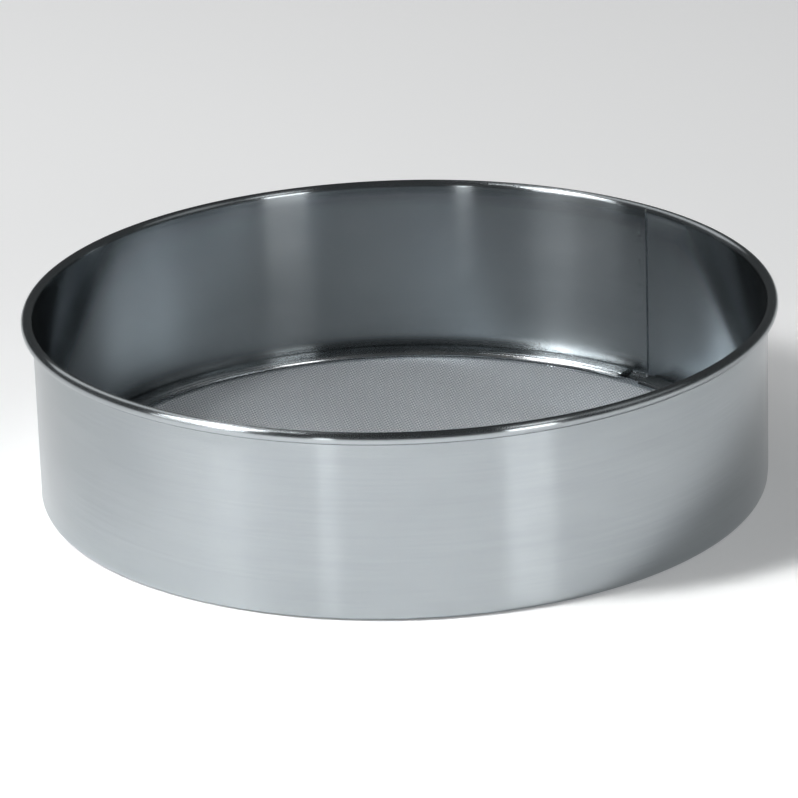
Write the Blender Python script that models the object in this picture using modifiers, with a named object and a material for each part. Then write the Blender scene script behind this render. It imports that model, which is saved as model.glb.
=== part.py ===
"""A round soil sieve: a rolled steel drum, the core wire in its rim, the woven cloth and its retaining ring.

The origin is the centre of the base, +Z is up and -Y is the front. The drum is one band of sheet whose
ends lap at the back right. Its top edge is curled outwards around the core wire, and its bottom edge is
bent inwards into a flange. The cloth lies on the flange, and a split ring holds it down.
"""

import math
from collections import namedtuple

import bmesh
import bpy

# The drum, in metres
HEIGHT = 0.079
WALL_RADIUS = 0.150
SHEET = 0.0006
BEND_RADIUS = 0.0030
FLANGE_INNER_RADIUS = 0.1395

# The lap, where the band's ends overlap: the left end lies inside the right one
SEAM_AZIMUTH = math.radians(44.3)
LAP_WIDTH = 0.012
LAP_FADE = 0.003
CUT_EDGE_WIDTH = 0.0001

# The rim: the curl's outer diameter, where it ends, and the wire inside it
CURL_DIAMETER = 0.0050
CURL_START = math.radians(180)
CURL_END = math.radians(-126)
CORE_WIRE_DIAMETER = 0.0032

# The cloth, two wires thick, and the gap kept between pieces that rest on each other
CLOTH_RADIUS = 0.143
CLOTH_THICKNESS = 0.0006
REST_GAP = 0.0002

# The retaining ring, a flat bar with a groove along it and a gap between its ends
RING_OUTER_RADIUS = 0.1485
RING_INNER_RADIUS = 0.1393
RING_EDGE_HEIGHT = 0.0013
RING_CREST_HEIGHT = 0.0016
RING_GROOVE_RADIUS = 0.1424
RING_GROOVE_WIDTH = 0.0012
RING_GROOVE_DEPTH = 0.0005
RING_CHAMFER = 0.0003
RING_GAP = 0.0122
RING_GAP_AZIMUTH = math.radians(45.4)

# How finely the round shapes are divided
SEGMENTS = 72
CURL_SEGMENTS = 17
BEND_SEGMENTS = 3
WIRE_SIDES = 8
SMOOTH_ANGLE = math.radians(35)

# A point on the middle of the sheet, the outer normal there, and 1 where the band's ends lap, else 0
SheetPoint = namedtuple("SheetPoint", "radius height across up lapped")

STEEL_COLOUR = (0.56, 0.58, 0.60, 1.0)
WIRE_COLOUR = (0.46, 0.47, 0.48, 1.0)
CLOTH_COLOUR = (0.50, 0.51, 0.52, 1.0)


def clear_scene():
    for item in list(bpy.data.objects):
        bpy.data.objects.remove(item, do_unlink=True)


def new_collection(name):
    collection = bpy.data.collections.new(name)
    bpy.context.scene.collection.children.link(collection)
    return collection


def steel(name, colour, roughness):
    material = bpy.data.materials.new(name)
    material.use_nodes = True
    shader = material.node_tree.nodes["Principled BSDF"]
    shader.inputs["Base Color"].default_value = colour
    shader.inputs["Metallic"].default_value = 1.0
    shader.inputs["Roughness"].default_value = roughness
    return material


def move_to(item, collection):
    for owner in list(item.users_collection):
        owner.objects.unlink(item)
    collection.objects.link(item)


def place(item, collection, parent, material):
    move_to(item, collection)
    item.parent = parent
    item.data.materials.append(material)
    item.data.shade_smooth()
    item.data.set_sharp_from_angle(angle=SMOOTH_ANGLE)


def object_from_bmesh(name, shape):
    mesh = bpy.data.meshes.new(name)
    shape.to_mesh(mesh)
    shape.free()
    return bpy.data.objects.new(name, mesh)


def arc(centre, radius, start, end, segments, facing):
    """Points on an arc of the sheet: facing is 1 where its outer normal leaves the centre, else -1."""
    points = []
    for step in range(segments + 1):
        angle = start + (end - start) * step / segments
        across, up = math.cos(angle), math.sin(angle)
        place_on_arc = (centre[0] + radius * across, centre[1] + radius * up)
        points.append(SheetPoint(*place_on_arc, facing * across, facing * up, 0))
    return points


def sheet_path():
    """The middle of the sheet, from the flange's edge to the end of the curl."""
    middle = WALL_RADIUS - SHEET / 2
    bend_centre = (WALL_RADIUS - BEND_RADIUS, BEND_RADIUS)
    curl_radius = (CURL_DIAMETER - SHEET) / 2
    curl_centre = (middle + curl_radius, HEIGHT - CURL_DIAMETER / 2)
    path = [SheetPoint(FLANGE_INNER_RADIUS, SHEET / 2, 0.0, -1.0, 0)]
    path += arc(bend_centre, BEND_RADIUS - SHEET / 2, math.radians(-90), 0.0, BEND_SEGMENTS, 1)
    path.append(SheetPoint(middle, bend_centre[1] + LAP_FADE, 1.0, 0.0, 1))
    path.append(SheetPoint(middle, curl_centre[1] - LAP_FADE, 1.0, 0.0, 1))
    path += arc(curl_centre, curl_radius, CURL_START, CURL_END, CURL_SEGMENTS, -1)
    return path


def lap_shift(azimuth, cut_edge):
    """How far the spiral of the band lies outside its mean radius, on the face with this cut edge."""
    turn = ((azimuth - cut_edge) % math.tau) / math.tau
    return SHEET * (turn - 0.5)


def band_section(path, azimuth):
    """The sheet's closed outline at one azimuth, up its inner face and back down its outer face."""
    inner_cut = SEAM_AZIMUTH
    outer_cut = SEAM_AZIMUTH + LAP_WIDTH / WALL_RADIUS
    outline = []
    for side, cut_edge, points in ((-1, inner_cut, path), (1, outer_cut, reversed(path))):
        for point in points:
            radius = point.radius + side * point.across * SHEET / 2
            radius += point.lapped * lap_shift(azimuth, cut_edge)
            height = point.height + side * point.up * SHEET / 2
            outline.append((radius * math.cos(azimuth), radius * math.sin(azimuth), height))
    return outline


def band_azimuths():
    """Even steps round the drum, and a close pair at each cut edge of the lap."""
    half_cut = CUT_EDGE_WIDTH / 2 / WALL_RADIUS
    azimuths = [math.tau * step / SEGMENTS for step in range(SEGMENTS)]
    for cut_edge in (SEAM_AZIMUTH, SEAM_AZIMUTH + LAP_WIDTH / WALL_RADIUS):
        azimuths += [cut_edge - half_cut, cut_edge + half_cut]
    return sorted(azimuths)


def make_drum_band():
    """One band of sheet: a loft, because the section changes at the lap."""
    path = sheet_path()
    shape = bmesh.new()
    sections = []
    for azimuth in band_azimuths():
        sections.append([shape.verts.new(point) for point in band_section(path, azimuth)])
    for here, after in zip(sections, sections[1:] + sections[:1]):
        for index in range(len(here)):
            following = (index + 1) % len(here)
            shape.faces.new((here[index], here[following], after[following], after[index]))
    bmesh.ops.recalc_face_normals(shape, faces=shape.faces)
    return object_from_bmesh("drum_band", shape)


def make_rim_core_wire():
    curl_centre = WALL_RADIUS - SHEET + CURL_DIAMETER / 2
    bpy.ops.mesh.primitive_torus_add(
        location=(0.0, 0.0, HEIGHT - CURL_DIAMETER / 2),
        major_segments=SEGMENTS,
        minor_segments=WIRE_SIDES,
        major_radius=curl_centre,
        minor_radius=CORE_WIRE_DIAMETER / 2,
    )
    wire = bpy.context.object
    wire.name = "rim_core_wire"
    return wire


def cloth_bottom():
    return SHEET + REST_GAP


def make_sieve_cloth():
    """The woven cloth as a plain disc, as thick as its two crossing wires."""
    bpy.ops.mesh.primitive_cylinder_add(
        location=(0.0, 0.0, cloth_bottom() + CLOTH_THICKNESS / 2),
        vertices=SEGMENTS,
        radius=CLOTH_RADIUS,
        depth=CLOTH_THICKNESS,
    )
    cloth = bpy.context.object
    cloth.name = "sieve_cloth"
    return cloth


def ring_profile():
    """The bar's outline, down its outer side, inwards along its base and back over its grooved top."""
    groove_half = RING_GROOVE_WIDTH / 2
    floor = RING_CREST_HEIGHT - RING_GROOVE_DEPTH
    return [
        (RING_OUTER_RADIUS - RING_CHAMFER, RING_CREST_HEIGHT),
        (RING_OUTER_RADIUS, RING_CREST_HEIGHT - RING_CHAMFER),
        (RING_OUTER_RADIUS, 0.0),
        (RING_INNER_RADIUS, 0.0),
        (RING_INNER_RADIUS, RING_EDGE_HEIGHT - RING_CHAMFER),
        (RING_INNER_RADIUS + RING_CHAMFER, RING_EDGE_HEIGHT),
        (RING_GROOVE_RADIUS - groove_half, RING_CREST_HEIGHT),
        (RING_GROOVE_RADIUS, floor),
        (RING_GROOVE_RADIUS + groove_half, RING_CREST_HEIGHT),
    ]


def make_gap_cutter(collection):
    """A block across the ring, as wide as the gap between its ends."""
    middle = (RING_OUTER_RADIUS + RING_INNER_RADIUS) / 2
    bpy.ops.mesh.primitive_cube_add(
        size=RING_GAP,
        location=(middle * math.cos(RING_GAP_AZIMUTH), middle * math.sin(RING_GAP_AZIMUTH), cloth_bottom()),
        rotation=(0.0, 0.0, RING_GAP_AZIMUTH),
    )
    cutter = bpy.context.object
    cutter.name = "ring_gap_cutter"
    cutter.display_type = "WIRE"
    cutter.hide_render = True
    move_to(cutter, collection)
    return cutter


def make_retaining_ring(gap_cutter):
    shape = bmesh.new()
    corners = [shape.verts.new((radius, 0.0, height)) for radius, height in ring_profile()]
    for here, after in zip(corners, corners[1:] + corners[:1]):
        shape.edges.new((here, after))
    ring = object_from_bmesh("retaining_ring", shape)
    ring.location.z = cloth_bottom() + CLOTH_THICKNESS + REST_GAP
    turn = ring.modifiers.new("turn", "SCREW")
    turn.angle = math.tau
    turn.steps = SEGMENTS
    turn.render_steps = SEGMENTS
    turn.use_merge_vertices = True
    turn.merge_threshold = 0.00001
    gap = ring.modifiers.new("gap", "BOOLEAN")
    gap.operation = "DIFFERENCE"
    gap.object = gap_cutter
    return ring


def build():
    clear_scene()
    parts = new_collection("soil_sieve")
    cutters = new_collection("cutters")
    origin = bpy.data.objects.new("soil_sieve_origin", None)
    parts.objects.link(origin)
    polished = steel("polished_steel", STEEL_COLOUR, 0.22)
    drawn_wire = steel("drawn_wire", WIRE_COLOUR, 0.40)
    woven_wire = steel("woven_wire", CLOTH_COLOUR, 0.35)
    ring_steel = steel("ring_steel", STEEL_COLOUR, 0.18)
    place(make_drum_band(), parts, origin, polished)
    place(make_rim_core_wire(), parts, origin, drawn_wire)
    place(make_sieve_cloth(), parts, origin, woven_wire)
    place(make_retaining_ring(make_gap_cutter(cutters)), parts, origin, ring_steel)


build()
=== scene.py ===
"""The looks of a round soil sieve: a polished drum, the wire in its rim, a split ring and real woven cloth.

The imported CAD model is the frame. +Z is up, -Y is the front, and lengths are in metres.
"""

import math

import bpy
import numpy as np
from mathutils import Matrix, Vector


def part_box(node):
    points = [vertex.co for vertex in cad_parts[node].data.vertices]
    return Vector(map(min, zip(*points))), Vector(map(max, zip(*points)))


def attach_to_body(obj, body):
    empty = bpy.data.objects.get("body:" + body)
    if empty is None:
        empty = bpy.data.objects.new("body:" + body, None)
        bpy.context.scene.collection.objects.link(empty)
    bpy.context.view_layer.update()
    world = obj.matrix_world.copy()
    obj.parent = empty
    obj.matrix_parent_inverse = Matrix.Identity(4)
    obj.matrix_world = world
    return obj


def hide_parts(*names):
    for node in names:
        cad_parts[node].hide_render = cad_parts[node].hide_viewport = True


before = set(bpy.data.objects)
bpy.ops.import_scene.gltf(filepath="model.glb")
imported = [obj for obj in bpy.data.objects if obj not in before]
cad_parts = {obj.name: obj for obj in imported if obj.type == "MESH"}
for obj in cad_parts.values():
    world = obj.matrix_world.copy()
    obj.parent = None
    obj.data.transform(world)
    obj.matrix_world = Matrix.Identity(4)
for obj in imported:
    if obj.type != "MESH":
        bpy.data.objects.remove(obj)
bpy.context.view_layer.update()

MM = 0.001

# The drum's sheet
SHEET = 0.6 * MM
CURL_DIAMETER = 5.0 * MM
BEND_RADIUS = 3.0 * MM
FLANGE_WIDTH = 10.5 * MM
CUT_ROUNDING = 0.12 * MM

# The waviness of the wall: its depth, the height over which a wave shifts by its lean, and each wave's
# share, number round the drum, phase and lean
WAVE_DEPTH = 0.05 * MM
WAVE_RISE = 80.0 * MM
WAVES = [(0.5, 3, 0.7, 0.0), (0.3, 7, 2.1, 2.0), (0.2, 13, 4.0, -3.0)]

# The lap: its two cut edges, the line that they leave in the bends, and the spot welds between them
SEAM_AZIMUTH = math.radians(44.3)
LAP_WIDTH = 12.0 * MM
LAP_FADE = 3.0 * MM
CUT_STEP = 0.05 * MM
SEAM_GROOVE_DEPTH = 0.06 * MM
SEAM_GROOVE_WIDTH = 0.25 * MM
WELD_AZIMUTH = math.radians(45.75)
WELD_HEIGHTS = [11 * MM * step for step in range(1, 7)]
WELD_RADIUS = 1.1 * MM
WELD_DEPTH = 0.05 * MM
WELD_STEEPNESS = 0.7

# Where the rim's curl starts and ends round its own centre, measured from the outside towards the top
CURL_START = math.radians(180)
CURL_END = math.radians(-126)

# The retaining ring's section and the gap between its ends
RING_WIDTH = 9.2 * MM
RING_CORNER = 0.25 * MM
RING_CROWN = 0.06 * MM
RING_GROOVE_PLACE = 2.6 * MM
RING_GROOVE_WIDTH = 1.6 * MM
RING_GROOVE_DEPTH = 0.5 * MM
RING_LEAN = 0.60 * MM
RING_SHOULDER = 0.25 * MM
RING_GAP = 12.2 * MM
RING_GAP_AZIMUTH = math.radians(45.4)
RING_END_BEVEL = 0.12 * MM

# The woven cloth
MESH_PITCH = 1.2 * MM
WEAVE_TURN = math.radians(11)

# How finely the round shapes are divided
COLUMNS = 360
CURL_STEPS = 36
BEND_STEPS = 8
WALL_STEP = 6 * MM
RING_COLUMNS = 480
CORE_SIDES = 16
WIRE_SIDES = 4
SMOOTH_ANGLE = math.radians(35)

# A rounded corner's points, and the largest share of an edge that it takes
CORNER_STEPS = 5
CORNER_SHARE = 0.45

# The finer mesh across a spot weld, what it clears of even rows, and the least step beside fine columns
WELD_REACH = 1.2 * WELD_RADIUS
WELD_ROWS = 7
WELD_COLUMNS = 11
WELD_CLEARANCE = 1.5 * WELD_RADIUS
LEAST_STEP = 0.3 * MM

# Noise values seldom lie outside this range
NOISE_LOW, NOISE_HIGH = 0.3, 0.7

# The softboxes: name, azimuth to the right of the front and elevation in degrees, width, height, radiance
SOFTBOX_DISTANCE = 2.4
SOFTBOXES = [
    ("key_front", -65, 49, 0.40, 0.80, 15.0),
    ("key_side", -80, 49, 0.44, 0.80, 12.0),
    ("key_low", -62, 20.5, 1.25, 0.40, 4.2),
    ("key_high", -96, 67, 0.34, 0.76, 3.9),
    ("low_right", 36.5, 10.5, 0.60, 0.80, 6.0),
    ("strip_front", -22.25, 5.5, 0.20, 0.44, 7.0),
    ("main_right", 54, 56, 0.47, 0.67, 2.2),
    ("side_right", 85.5, 47, 1.16, 1.11, 0.4),
    ("back_left", -150, 45, 1.24, 1.29, 0.9),
]

# The floor, which gives off a little light, as a light table does
FLOOR_SIZE = 24.0
FLOOR_COLOUR = (0.95, 0.95, 0.95)
FLOOR_ROUGHNESS = 0.9
FLOOR_GLOW_COLOUR = (0.97, 0.99, 1.0)
FLOOR_GLOW = 0.16

# The softbox with a grid, which lights only the floor before the sieve
WASH_PLACE = Vector((-1.48, -0.66, 1.80))
WASH_TARGET = Vector((-0.05, -0.46, 0.0))
WASH_SIZE = 0.30
WASH_SPREAD = math.radians(30)
WASH_ENERGY = 1.75

WORLD_COLOUR = (0.95, 0.98, 1.0)
WORLD_STRENGTH = 0.075

# The camera, aimed from the front at a point a little below the middle of the drum
CAMERA_DISTANCE = 1.966
CAMERA_ELEVATION = math.radians(21.852)
CAMERA_ROLL = math.radians(-1.840)
CAMERA_TARGET = Vector((-1.32 * MM, 0.0, 34.51 * MM))
CAMERA_LENS = 214.1
SENSOR_WIDTH = 36.0
CAMERA_CLIP = (0.05, 60.0)


def drum_measures():
    """The wall's outer radius, the drum's height and the flange's inner radius, from the CAD band's box."""
    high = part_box("drum_band")[1]
    wall_radius = high.x - CURL_DIAMETER + SHEET
    return wall_radius, high.z, wall_radius - FLANGE_WIDTH


# ---------------------------------------------------------------------------------------------------------
# Meshes


def piece_from(name, vertices, faces, material):
    mesh = bpy.data.meshes.new(name)
    mesh.from_pydata(np.asarray(vertices).tolist(), [], faces)
    mesh.materials.append(material)
    mesh.shade_smooth()
    mesh.set_sharp_from_angle(angle=SMOOTH_ANGLE)
    piece = bpy.data.objects.new(name, mesh)
    bpy.context.scene.collection.objects.link(piece)
    return piece


def swept_faces(count, around, closed, start=0):
    """Quads that join each loop of points to the next, with a cap on both ends of an open sweep."""
    index = start + np.arange(count * around).reshape(count, around)
    here = index if closed else index[:-1]
    after = np.roll(index, -1, axis=0) if closed else index[1:]
    corners = (here, np.roll(here, -1, axis=1), np.roll(after, -1, axis=1), after)
    faces = np.stack(corners, axis=-1).reshape(-1, 4).tolist()
    if not closed:
        faces.append(index[0][::-1].tolist())
        faces.append(index[-1].tolist())
    return faces


def turned(profile, azimuths):
    """Places a flat outline of radius and height at each azimuth."""
    radius, height = np.asarray(profile).T
    azimuths = np.asarray(azimuths)[:, None]
    across = radius * np.cos(azimuths)
    deep = radius * np.sin(azimuths)
    return np.stack([across, deep, np.broadcast_to(height, across.shape)], axis=-1)


def rounded(corners, rounding):
    """The closed outline with each corner replaced by a short curve."""
    corners = np.asarray(corners, float)
    points = []
    for before, corner, after in zip(np.roll(corners, 1, axis=0), corners, np.roll(corners, -1, axis=0)):
        back, ahead = before - corner, after - corner
        reach_back = min(rounding / np.linalg.norm(back), CORNER_SHARE)
        reach_ahead = min(rounding / np.linalg.norm(ahead), CORNER_SHARE)
        for share in np.linspace(0.0, 1.0, CORNER_STEPS):
            points.append(corner + back * reach_back * (1 - share) ** 2 + ahead * reach_ahead * share ** 2)
    return points


# ---------------------------------------------------------------------------------------------------------
# The drum


def sheet_path():
    """The sheet's middle line as rows of radius, height, outer normal across and up, and share of the lap."""
    wall_radius, height, flange_radius = drum_measures()
    middle = wall_radius - SHEET / 2
    rows = [(flange_radius + CUT_ROUNDING, SHEET / 2, 0.0, -1.0, 0.0)]
    for angle in np.linspace(math.radians(-90), 0.0, BEND_STEPS + 1):
        reach = BEND_RADIUS - SHEET / 2
        across, up = math.cos(angle), math.sin(angle)
        centre = wall_radius - BEND_RADIUS
        rows.append((centre + reach * across, BEND_RADIUS + reach * up, across, up, 0.0))
    curl_reach = (CURL_DIAMETER - SHEET) / 2
    curl_height = height - CURL_DIAMETER / 2
    bottom, top = BEND_RADIUS + LAP_FADE, curl_height - LAP_FADE
    rows.append((middle, BEND_RADIUS + LAP_FADE / 2, 1.0, 0.0, 0.5))
    for level in wall_levels(bottom, top):
        rows.append((middle, level, 1.0, 0.0, 1.0))
    rows.append((middle, top + LAP_FADE / 2, 1.0, 0.0, 0.5))
    for angle in np.linspace(CURL_START, CURL_END, CURL_STEPS + 1):
        across, up = math.cos(angle), math.sin(angle)
        rows.append((middle + curl_reach * (1 + across), curl_height + curl_reach * up, -across, -up, 0.0))
    return np.array(rows)


def wall_levels(bottom, top):
    """Even steps up the wall, and close ones across each spot weld."""
    levels = list(np.linspace(bottom, top, round((top - bottom) / WALL_STEP) + 1))
    near = np.linspace(-WELD_REACH, WELD_REACH, WELD_ROWS)
    for weld in WELD_HEIGHTS:
        levels = [level for level in levels if abs(level - weld) > WELD_CLEARANCE]
        levels += list(weld + near)
    return [level for level in sorted(levels) if bottom <= level <= top]


def band_azimuths():
    """Even steps round the drum, and close ones at the two cut edges and across the spot welds."""
    wall_radius = drum_measures()[0]
    azimuths = list(math.tau * np.arange(COLUMNS) / COLUMNS)
    fine = list(WELD_AZIMUTH + np.linspace(-WELD_REACH, WELD_REACH, WELD_COLUMNS) / wall_radius)
    for cut in cut_edges():
        for reach in (CUT_STEP / 2, SEAM_GROOVE_WIDTH, 3 * SEAM_GROOVE_WIDTH):
            fine += [cut - reach / wall_radius, cut + reach / wall_radius]
    too_close = LEAST_STEP / wall_radius
    azimuths = [angle for angle in azimuths if min(abs(angle - other) for other in fine) > too_close]
    return np.array(sorted(azimuths + fine))


def cut_edges():
    """Azimuths of the cut edges on the inner and on the outer face."""
    return SEAM_AZIMUTH, SEAM_AZIMUTH + LAP_WIDTH / drum_measures()[0]


def lap_shift(azimuths, cut_edge):
    """How far the spiral of the band lies outside its mean radius, on the face with this cut edge."""
    return SHEET * (((azimuths - cut_edge) % math.tau) / math.tau - 0.5)


def seam_groove(azimuths, cut_edge):
    """The fine line that the cut edge leaves where the sheet is bent or curled."""
    away = (azimuths - cut_edge) * drum_measures()[0]
    return SEAM_GROOVE_DEPTH * np.exp(-((away / SEAM_GROOVE_WIDTH) ** 2))


def weld_dents(azimuths, heights):
    """How deep the spot welds' electrode marks are, over a grid of azimuths and heights."""
    away = (azimuths - WELD_AZIMUTH) * drum_measures()[0]
    depth = np.zeros((len(azimuths), len(heights)))
    for weld in WELD_HEIGHTS:
        distance = np.hypot(away[:, None], heights[None, :] - weld)
        depth += WELD_DEPTH * np.clip(1 - (distance / WELD_RADIUS) ** 2, 0, 1) ** WELD_STEEPNESS
    return depth


def wall_wave(azimuths, heights):
    """The slight waviness of rolled sheet, as a few long waves."""
    turn, rise = azimuths[:, None], heights[None, :] / WAVE_RISE
    return WAVE_DEPTH * sum(share * np.sin(number * turn + phase + lean * rise)
                            for share, number, phase, lean in WAVES)


def make_drum(material):
    path = sheet_path()
    azimuths = band_azimuths()
    radius, height, across, up, lapped = path.T
    flat = 1 - lapped
    wave = wall_wave(azimuths, height) * lapped
    dents = weld_dents(azimuths, height) * (lapped == 1)
    sides = {}
    for side, cut_edge in zip((-1, 1), cut_edges()):
        shift = lap_shift(azimuths, cut_edge)[:, None] * lapped
        into_sheet = seam_groove(azimuths, cut_edge)[:, None] * flat + dents
        offset = side * (SHEET / 2 - into_sheet)
        face_radius = radius + across * offset + shift + wave
        face_height = np.broadcast_to(height + up * offset, face_radius.shape)
        sides[side] = (face_radius, face_height)
    inner_radius, inner_height = sides[-1]
    outer_radius, outer_height = sides[1]
    end_radius, end_height = cut_end(path[-1], CURL_END - math.pi / 2)
    start_radius, start_height = cut_end(path[0], math.pi)
    ones = np.ones((len(azimuths), 1))
    all_radius = [inner_radius, ones * end_radius, outer_radius[:, ::-1], ones * start_radius[::-1]]
    all_height = [inner_height, ones * end_height, outer_height[:, ::-1], ones * start_height[::-1]]
    loop_radius, loop_height = np.hstack(all_radius), np.hstack(all_height)
    turn = azimuths[:, None]
    points = np.stack([loop_radius * np.cos(turn), loop_radius * np.sin(turn), loop_height], axis=-1)
    faces = swept_faces(*points.shape[:2], closed=True)
    return piece_from("drum", points.reshape(-1, 3), faces, material)


def cut_end(row, direction):
    """Two points that round off the sheet's cut edge, on its inner and its outer side."""
    radius, height, across, up = row[:4]
    half = SHEET / 2 - CUT_ROUNDING
    tip_radius = radius + CUT_ROUNDING * math.cos(direction)
    tip_height = height + CUT_ROUNDING * math.sin(direction)
    radii = np.array([tip_radius - across * half, tip_radius + across * half])
    heights = np.array([tip_height - up * half, tip_height + up * half])
    return radii, heights


def make_core_wire(material):
    """The wire that the rim is curled around."""
    low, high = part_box("rim_core_wire")
    wire_radius = (high.z - low.z) / 2
    centre_radius, centre_height = high.x - wire_radius, (low.z + high.z) / 2
    turns = -math.tau * np.arange(CORE_SIDES) / CORE_SIDES
    radius = centre_radius + wire_radius * np.cos(turns)
    height = centre_height + wire_radius * np.sin(turns)
    azimuths = math.tau * np.arange(COLUMNS) / COLUMNS
    points = turned(np.stack([radius, height], axis=-1), azimuths)
    faces = swept_faces(*points.shape[:2], closed=True)
    return piece_from("core_wire", points.reshape(-1, 3), faces, material)


# ---------------------------------------------------------------------------------------------------------
# The ring


def ring_outline():
    """A broad, slightly crowned band, a crease and a steep lip that stands on the cloth."""
    low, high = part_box("retaining_ring")
    outer, crest = -low.x, high.z
    inner = outer - RING_WIDTH
    groove = inner + RING_GROOVE_PLACE
    half = RING_GROOVE_WIDTH / 2
    corners = [
        (outer, low.z),
        (inner, low.z),
        (inner + RING_LEAN, crest - RING_CROWN),
        (groove - half, crest - RING_CROWN),
        (groove, crest - RING_GROOVE_DEPTH),
        (groove + half, crest - RING_CROWN),
        ((groove + half + outer) / 2, crest),
        (outer - RING_SHOULDER, crest - RING_CROWN),
        (outer, crest - RING_CROWN - RING_SHOULDER),
    ]
    return np.array(rounded(corners, RING_CORNER))


def make_ring(material):
    """The split ring, with its ends slightly bevelled."""
    outline = ring_outline()
    middle = (outline.max(axis=0) + outline.min(axis=0)) / 2
    half_gap = RING_GAP / 2 / middle[0]
    azimuths = RING_GAP_AZIMUTH + np.linspace(half_gap, math.tau - half_gap, RING_COLUMNS)
    bevel = RING_END_BEVEL / middle[0]
    azimuths = np.insert(azimuths, [1, -1], [azimuths[0] + bevel, azimuths[-1] - bevel])
    points = turned(outline, azimuths)
    size = outline.max(axis=0) - outline.min(axis=0)
    small = middle + (outline - middle) * (1 - 2 * RING_END_BEVEL / size)
    points[[0, -1]] = turned(small, azimuths[[0, -1]])
    faces = swept_faces(*points.shape[:2], closed=False)
    return piece_from("split_ring", points.reshape(-1, 3), faces, material)


# ---------------------------------------------------------------------------------------------------------
# The cloth


def wire_points(number, weft, low, high):
    """One wire as loops of points, bent over and under the wires that it crosses."""
    cloth_radius, wire_radius, level = high.x, (high.z - low.z) / 4, (low.z + high.z) / 2
    offset = (number + 0.5) * MESH_PITCH
    reach = math.sqrt(cloth_radius ** 2 - offset ** 2) - wire_radius
    last = int(reach / MESH_PITCH - 0.5)
    crossings = np.arange(-last - 1, last + 1)
    side = np.where((crossings + number) % 2 == 0, 1.0, -1.0) * (-1.0 if weft else 1.0)
    rise = np.concatenate([[0.0], side, [0.0]]) * wire_radius
    corners = math.tau * np.arange(WIRE_SIDES) / WIRE_SIDES
    heights = level + rise[:, None] + wire_radius * np.sin(corners)
    along = np.concatenate([[-reach], (crossings + 0.5) * MESH_PITCH, [reach]])
    along = np.broadcast_to(along[:, None], heights.shape)
    across = np.broadcast_to(offset + wire_radius * np.cos(corners), heights.shape)
    if weft:
        return np.stack([across, along, heights], axis=-1)[:, ::-1]
    return np.stack([along, across, heights], axis=-1)


def make_wires(name, weft, side, material):
    """The wires of one family on one side of the middle."""
    low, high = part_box("sieve_cloth")
    vertices, faces, used = [], [], 0
    for count in range(int(high.x / MESH_PITCH)):
        number = count if side > 0 else -1 - count
        points = wire_points(number, weft, low, high)
        faces += swept_faces(*points.shape[:2], closed=False, start=used)
        vertices.append(points.reshape(-1, 3))
        used += len(vertices[-1])
    turn = np.array(Matrix.Rotation(WEAVE_TURN, 3, "Z"))
    return piece_from(name, np.concatenate(vertices) @ turn.T, faces, material)


def make_cloth(material):
    pieces = []
    for family, weft in (("warp", False), ("weft", True)):
        for place, side in (("near", -1), ("far", 1)):
            pieces.append(make_wires(f"cloth_{family}_{place}", weft, side, material))
    return pieces


# ---------------------------------------------------------------------------------------------------------
# Materials


def new_material(name, metallic=1.0):
    material = bpy.data.materials.new(name)
    material.use_nodes = True
    shader = material.node_tree.nodes["Principled BSDF"]
    shader.inputs["Metallic"].default_value = metallic
    return material, material.node_tree, shader


def stretched_noise(tree, stretch, scale, detail, roughness):
    """Noise over object coordinates, stretched by three factors."""
    place = tree.nodes.new("ShaderNodeTexCoord")
    mapping = tree.nodes.new("ShaderNodeMapping")
    mapping.inputs["Scale"].default_value = stretch
    tree.links.new(place.outputs["Object"], mapping.inputs["Vector"])
    noise = tree.nodes.new("ShaderNodeTexNoise")
    noise.inputs["Scale"].default_value = scale
    noise.inputs["Detail"].default_value = detail
    noise.inputs["Roughness"].default_value = roughness
    tree.links.new(mapping.outputs["Vector"], noise.inputs["Vector"])
    return noise.outputs["Fac"]


def ranged(tree, noise, low, high):
    """Spreads noise between two values."""
    node = tree.nodes.new("ShaderNodeMapRange")
    node.inputs["From Min"].default_value = NOISE_LOW
    node.inputs["From Max"].default_value = NOISE_HIGH
    node.inputs["To Min"].default_value = low
    node.inputs["To Max"].default_value = high
    tree.links.new(noise, node.inputs["Value"])
    return node.outputs["Result"]


def combined(tree, operation, first, second):
    node = tree.nodes.new("ShaderNodeMath")
    node.operation = operation
    for socket, value in zip(node.inputs, (first, second)):
        if isinstance(value, float):
            socket.default_value = value
        else:
            tree.links.new(value, socket)
    return node.outputs["Value"]


def tinted(tree, shader, noise, dark, light):
    """Links the base colour to a mix of two colours."""
    mix = tree.nodes.new("ShaderNodeMix")
    mix.data_type = "RGBA"
    mix.inputs["A"].default_value = (*dark, 1.0)
    mix.inputs["B"].default_value = (*light, 1.0)
    tree.links.new(ranged(tree, noise, 0.0, 1.0), mix.inputs["Factor"])
    tree.links.new(mix.outputs["Result"], shader.inputs["Base Color"])


def roughened(tree, shader, noise, low, high):
    tree.links.new(ranged(tree, noise, low, high), shader.inputs["Roughness"])


def bumped(tree, shader, height, strength, distance):
    bump = tree.nodes.new("ShaderNodeBump")
    bump.inputs["Strength"].default_value = strength
    bump.inputs["Distance"].default_value = distance
    tree.links.new(height, bump.inputs["Height"])
    tree.links.new(bump.outputs["Normal"], shader.inputs["Normal"])


def brushed_round(tree, shader):
    """Spreads highlights up and down the wall, a quarter turn from the level rolling lines."""
    tangent = tree.nodes.new("ShaderNodeTangent")
    tangent.direction_type = "RADIAL"
    tangent.axis = "Z"
    tree.links.new(tangent.outputs["Tangent"], shader.inputs["Tangent"])
    shader.inputs["Anisotropic"].default_value = 1.0
    shader.inputs["Anisotropic Rotation"].default_value = 0.25


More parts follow.
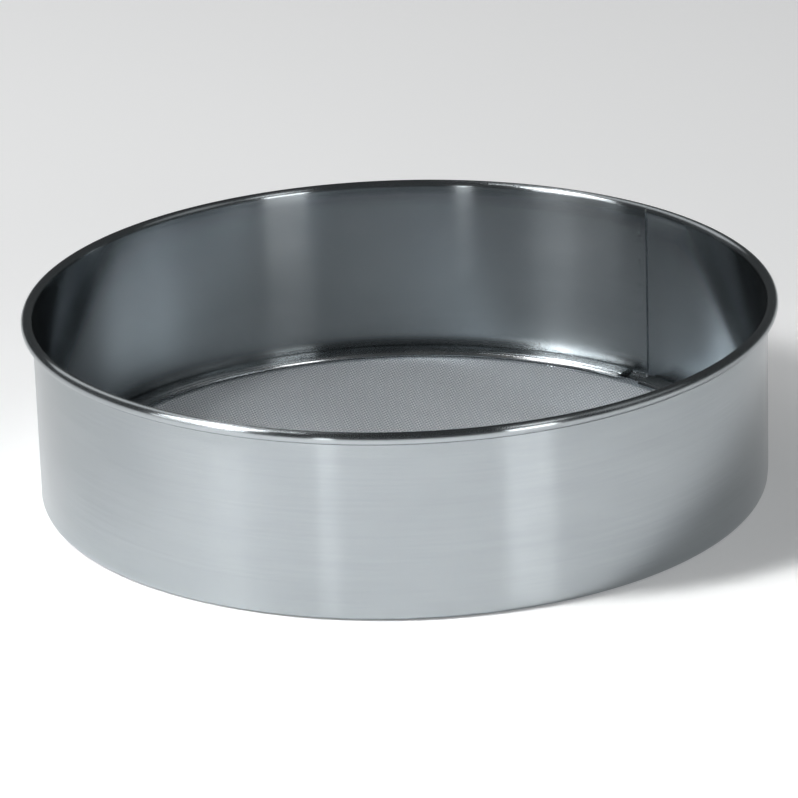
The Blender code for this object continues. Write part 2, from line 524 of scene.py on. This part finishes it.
def polished_sheet():
    """Bright rolled stainless sheet, with level rolling lines and faint cloudy stains."""
    material, tree, shader = new_material("polished_sheet")
    lines = stretched_noise(tree, stretch=(1, 1, 60), scale=14, detail=4, roughness=0.6)
    clouds = stretched_noise(tree, stretch=(1, 1, 3), scale=16, detail=6, roughness=0.62)
    lines_share = combined(tree, "MULTIPLY", lines, 0.4)
    clouds_share = combined(tree, "MULTIPLY", clouds, 0.6)
    mixed = combined(tree, "ADD", lines_share, clouds_share)
    tinted(tree, shader, mixed, dark=(0.335, 0.362, 0.377), light=(0.405, 0.435, 0.450))
    roughened(tree, shader, mixed, low=0.175, high=0.215)
    brushed_round(tree, shader)
    bumped(tree, shader, lines, strength=0.18, distance=0.05 * MM)
    return material


def ring_metal():
    """Bright bar, a little duller in blotches."""
    material, tree, shader = new_material("ring_metal")
    blotches = stretched_noise(tree, stretch=(1, 1, 1), scale=60, detail=5, roughness=0.6)
    tinted(tree, shader, blotches, dark=(0.53, 0.56, 0.575), light=(0.62, 0.64, 0.65))
    roughened(tree, shader, blotches, low=0.12, high=0.22)
    return material


def core_metal():
    """Dull drawn wire, with fine lines along it."""
    material, tree, shader = new_material("core_metal")
    lines = stretched_noise(tree, stretch=(1, 1, 8), scale=90, detail=4, roughness=0.6)
    tinted(tree, shader, lines, dark=(0.40, 0.41, 0.42), light=(0.50, 0.51, 0.52))
    roughened(tree, shader, lines, low=0.30, high=0.45)
    return material


def cloth_metal():
    """Drawn stainless wire, a little duller in patches."""
    material, tree, shader = new_material("cloth_metal")
    patches = stretched_noise(tree, stretch=(1, 1, 1), scale=18, detail=6, roughness=0.65)
    tinted(tree, shader, patches, dark=(0.395, 0.440, 0.480), light=(0.475, 0.520, 0.560))
    roughened(tree, shader, patches, low=0.29, high=0.38)
    return material


# ---------------------------------------------------------------------------------------------------------
# The studio


def make_floor():
    """A plain, pale, matt floor."""
    bpy.ops.mesh.primitive_plane_add(size=FLOOR_SIZE)
    floor = bpy.context.object
    floor.name = "floor"
    material, _, shader = new_material("floor_matt", metallic=0.0)
    shader.inputs["Base Color"].default_value = (*FLOOR_COLOUR, 1.0)
    shader.inputs["Roughness"].default_value = FLOOR_ROUGHNESS
    shader.inputs["Specular IOR Level"].default_value = 0.0
    shader.inputs["Emission Color"].default_value = (*FLOOR_GLOW_COLOUR, 1.0)
    shader.inputs["Emission Strength"].default_value = FLOOR_GLOW
    floor.data.materials.append(material)


def make_softbox(name, azimuth, elevation, width, height, radiance):
    """A soft panel that faces the sieve."""
    light = bpy.data.lights.new(name, "AREA")
    light.shape = "RECTANGLE"
    light.size, light.size_y = width, height
    light.energy = radiance * math.pi * width * height
    panel = bpy.data.objects.new(name, light)
    turn, rise = math.radians(azimuth), math.radians(elevation)
    away = Vector((math.sin(turn) * math.cos(rise), -math.cos(turn) * math.cos(rise), math.sin(rise)))
    panel.location = away * SOFTBOX_DISTANCE
    panel.rotation_euler = away.to_track_quat("Z", "Y").to_euler()
    bpy.context.scene.collection.objects.link(panel)


def make_floor_wash():
    """A small softbox with a grid, aimed at the floor before the sieve."""
    light = bpy.data.lights.new("floor_wash", "AREA")
    light.size = WASH_SIZE
    light.spread = WASH_SPREAD
    light.energy = WASH_ENERGY
    panel = bpy.data.objects.new("floor_wash", light)
    panel.location = WASH_PLACE
    panel.rotation_euler = (WASH_PLACE - WASH_TARGET).to_track_quat("Z", "Y").to_euler()
    bpy.context.scene.collection.objects.link(panel)


def make_studio():
    make_floor()
    make_floor_wash()
    for softbox in SOFTBOXES:
        make_softbox(*softbox)
    world = bpy.data.worlds.new("studio")
    world.use_nodes = True
    background = world.node_tree.nodes["Background"]
    background.inputs["Color"].default_value = (*WORLD_COLOUR, 1.0)
    background.inputs["Strength"].default_value = WORLD_STRENGTH
    bpy.context.scene.world = world
    bpy.context.scene.view_settings.view_transform = "Standard"


def make_camera():
    lens = bpy.data.cameras.new("camera")
    lens.lens = CAMERA_LENS
    lens.sensor_width = SENSOR_WIDTH
    lens.clip_start, lens.clip_end = CAMERA_CLIP
    camera = bpy.data.objects.new("camera", lens)
    rise = Vector((0.0, -math.cos(CAMERA_ELEVATION), math.sin(CAMERA_ELEVATION)))
    camera.location = rise * CAMERA_DISTANCE
    ahead = (CAMERA_TARGET - camera.location).normalized()
    right = ahead.cross(Vector((0.0, 0.0, 1.0))).normalized()
    above = right.cross(ahead)
    tipped = right * math.cos(CAMERA_ROLL) + above * math.sin(CAMERA_ROLL)
    upright = above * math.cos(CAMERA_ROLL) - right * math.sin(CAMERA_ROLL)
    camera.rotation_euler = Matrix((tipped, upright, -ahead)).transposed().to_euler()
    bpy.context.scene.collection.objects.link(camera)
    bpy.context.scene.camera = camera


def attach(piece, node):
    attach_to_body(piece, "root")
    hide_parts(node)


def build():
    make_camera()
    make_studio()
    attach(make_drum(polished_sheet()), "drum_band")
    attach(make_core_wire(core_metal()), "rim_core_wire")
    attach(make_ring(ring_metal()), "retaining_ring")
    for wires in make_cloth(cloth_metal()):
        attach(wires, "sieve_cloth")


build()
